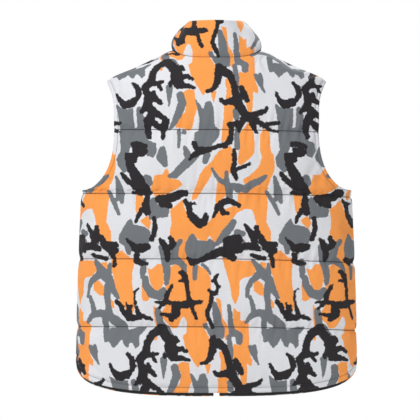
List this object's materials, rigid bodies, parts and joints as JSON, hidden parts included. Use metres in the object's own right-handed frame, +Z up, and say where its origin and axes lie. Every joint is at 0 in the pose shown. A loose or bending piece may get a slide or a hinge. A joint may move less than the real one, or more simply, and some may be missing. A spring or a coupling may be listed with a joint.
{
  "type": "quilted field vest",
  "caption": "Sleeveless padded field vest with a stand collar, full front zip, two flap pockets and a hang loop, quilted in rows; both fronts open along a soft fold.",
  "frame": {"origin": "foot of the hang loop, in the middle of the back of the neck, level with the collar seam", "axes": "+X to the wearer's right, +Y to the wearer's front, +Z up"},
  "size_m": [0.5994, 0.2048, 0.794],
  "materials": {
    "printed_shell": "matt brushed polyester shell with a woodland print in white, blaze orange, grey and black",
    "filling": "white polyester wadding, out of sight",
    "lining": "black polyester taffeta with a faint sheen",
    "zip_tape": "black knitted zip tape",
    "zip_teeth": "black moulded zip teeth",
    "zip_metal": "black painted die-cast zip slider, stops, box and pin",
    "snap_metal": "black enamelled brass snap fastener",
    "strap": "black woven tape",
    "label": "blank woven label"
  },
  "bodies": {
    "root": {"back_shell": "printed_shell", "back_filling": "filling", "back_lining": "lining", "right_side_shell": "printed_shell", "right_side_filling": "filling", "right_side_lining": "lining", "left_side_shell": "printed_shell", "left_side_filling": "filling", "left_side_lining": "lining", "collar_back_shell": "printed_shell", "collar_back_filling": "filling", "collar_back_lining": "lining", "hang_loop": "strap", "neck_label": "label"},
    "right_front": {"right_front_shell": "printed_shell", "right_front_filling": "filling", "right_front_lining": "lining", "right_collar_shell": "printed_shell", "right_collar_filling": "filling", "right_collar_lining": "lining", "right_zip_tape": "zip_tape", "right_zip_teeth": "zip_teeth", "right_top_stop": "zip_metal", "zip_box": "zip_metal", "right_pocket": "printed_shell", "right_snap_stud": "snap_metal"},
    "left_front": {"left_front_shell": "printed_shell", "left_front_filling": "filling", "left_front_lining": "lining", "left_collar_shell": "printed_shell", "left_collar_filling": "filling", "left_collar_lining": "lining", "left_zip_tape": "zip_tape", "left_zip_teeth": "zip_teeth", "left_top_stop": "zip_metal", "zip_pin": "zip_metal", "draft_flap": "lining", "left_pocket": "printed_shell", "left_snap_stud": "snap_metal"},
    "slider": {"zip_slider": "zip_metal", "slider_bail": "zip_metal"},
    "pull": {"zip_pull": "zip_metal"},
    "right_flap": {"right_pocket_flap": "printed_shell", "right_snap_cap": "snap_metal"},
    "left_flap": {"left_pocket_flap": "printed_shell", "left_snap_cap": "snap_metal"}
  },
  "joints": [
    {"name": "right_front_fold", "type": "hinge", "parent": "root", "child": "right_front", "pos_m": [0.17, 0.1255, -0.3585], "axis": [0.2446, -0.0489, -0.9684], "range_deg": [0, 100]},
    {"name": "left_front_fold", "type": "hinge", "parent": "root", "child": "left_front", "pos_m": [-0.17, 0.1255, -0.3585], "axis": [0.2446, 0.0489, 0.9684], "range_deg": [0, 100]},
    {"name": "slider_travel", "type": "slide", "parent": "right_front", "child": "slider", "axis": [0, 0, -1], "range_m": [0, 0.69]},
    {"name": "pull_swing", "type": "hinge", "parent": "slider", "child": "pull", "pos_m": [0, 0.13945, -0.0075], "axis": [1, 0, 0], "range_deg": [0, 120]},
    {"name": "right_flap_lift", "type": "hinge", "parent": "right_front", "child": "right_flap", "pos_m": [0.1063, 0.13367, -0.436], "axis": [0.9914, -0.1305, 0], "range_deg": [0, 120]},
    {"name": "left_flap_lift", "type": "hinge", "parent": "left_front", "child": "left_flap", "pos_m": [-0.1063, 0.13367, -0.436], "axis": [0.9914, 0.1305, 0], "range_deg": [0, 120]}
  ]
}
